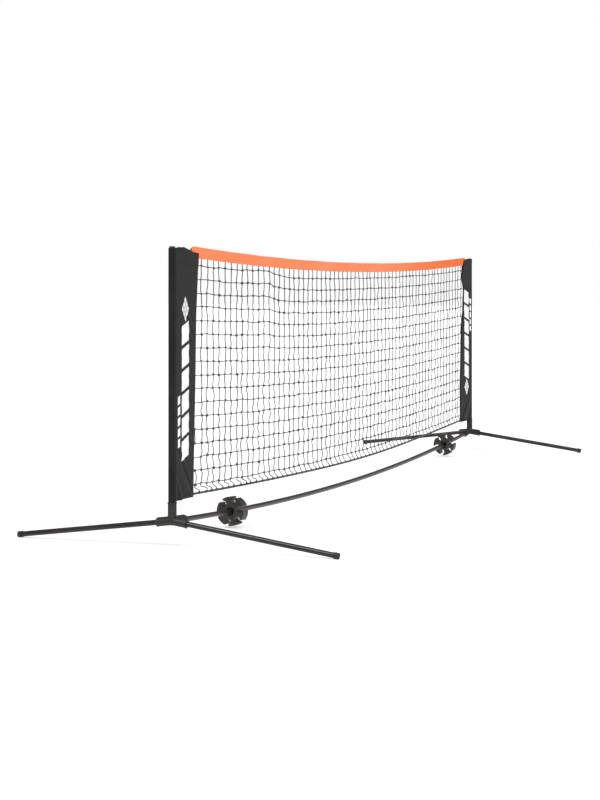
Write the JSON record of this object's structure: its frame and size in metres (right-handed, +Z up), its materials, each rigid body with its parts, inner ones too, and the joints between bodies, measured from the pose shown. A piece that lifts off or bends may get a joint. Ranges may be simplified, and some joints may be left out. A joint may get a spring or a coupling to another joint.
{
  "type": "portable badminton net",
  "caption": "Low portable net on two bases with sloping legs, joined by a sagging spreader bar, with cloth sleeves over the posts and an orange top tape.",
  "frame": {"origin": "on the ground, midway between the two posts", "axes": "+X along the net towards the right post, -Y towards the front, +Z up"},
  "size_m": [3.028, 1.0306, 0.8685],
  "materials": {
    "tube_paint": "satin black powder coat over steel tube",
    "hub_plastic": "moulded dark grey-black plastic with a soft sheen",
    "cap_plastic": "black moulded plastic",
    "clip_plastic": "dark brown-grey moulded plastic",
    "sleeve_cloth": "black woven polyester with a plain white print",
    "band_tape": "bright orange woven tape",
    "net_twine": "knotted black twine",
    "net_cord": "black braided cord"
  },
  "bodies": {
    "base": {"left_base_hub": "hub_plastic", "right_base_hub": "hub_plastic", "spreader_left_outer": "tube_paint", "spreader_left_inner": "tube_paint", "spreader_right_inner": "tube_paint", "spreader_right_outer": "tube_paint", "left_spigot": "tube_paint", "middle_spigot": "tube_paint", "right_spigot": "tube_paint"},
    "left_front_leg": {"left_front_leg": "tube_paint", "left_front_foot_cap": "cap_plastic"},
    "left_rear_leg": {"left_rear_leg": "tube_paint", "left_rear_foot_cap": "cap_plastic"},
    "right_front_leg": {"right_front_leg": "tube_paint", "right_front_foot_cap": "cap_plastic"},
    "right_rear_leg": {"right_rear_leg": "tube_paint", "right_rear_foot_cap": "cap_plastic"},
    "left_post": {"left_post": "tube_paint", "left_post_cap": "cap_plastic"},
    "right_post": {"right_post": "tube_paint", "right_post_cap": "cap_plastic"},
    "net": {"left_sleeve": "sleeve_cloth", "right_sleeve": "sleeve_cloth", "headband": "band_tape", "headline_cord": "net_cord", "bottom_cord": "net_cord", "net_mesh": "net_twine"},
    "left_clip": {"left_star_clip": "clip_plastic"},
    "right_clip": {"right_star_clip": "clip_plastic"}
  },
  "joints": [
    {"name": "left_front_leg_pull", "type": "slide", "parent": "base", "child": "left_front_leg", "axis": [0, -0.9912, -0.1323], "range_m": [0, 0.034]},
    {"name": "left_rear_leg_pull", "type": "slide", "parent": "base", "child": "left_rear_leg", "axis": [0, 0.9912, -0.1323], "range_m": [0, 0.034]},
    {"name": "right_front_leg_pull", "type": "slide", "parent": "base", "child": "right_front_leg", "axis": [0, -0.9912, -0.1323], "range_m": [0, 0.034]},
    {"name": "right_rear_leg_pull", "type": "slide", "parent": "base", "child": "right_rear_leg", "axis": [0, 0.9912, -0.1323], "range_m": [0, 0.034]},
    {"name": "left_post_lift", "type": "slide", "parent": "base", "child": "left_post", "axis": [0, 0, 1], "range_m": [0, 0.04]},
    {"name": "right_post_lift", "type": "slide", "parent": "base", "child": "right_post", "axis": [0, 0, 1], "range_m": [0, 0.04]},
    {"name": "net_lift", "type": "slide", "parent": "left_post", "child": "net", "axis": [0, 0, 1], "range_m": [0, 0.736]},
    {"name": "left_clip_slide", "type": "slide", "parent": "base", "child": "left_clip", "axis": [0.9987, 0, -0.0507], "range_m": [-0.09, 0.06]},
    {"name": "right_clip_slide", "type": "slide", "parent": "base", "child": "right_clip", "axis": [-0.9986, 0, -0.0523], "range_m": [-0.09, 0.06]}
  ],
  "couplings": [
    {"joint": "right_post_lift", "follows": "left_post_lift", "ratio": 1}
  ]
}
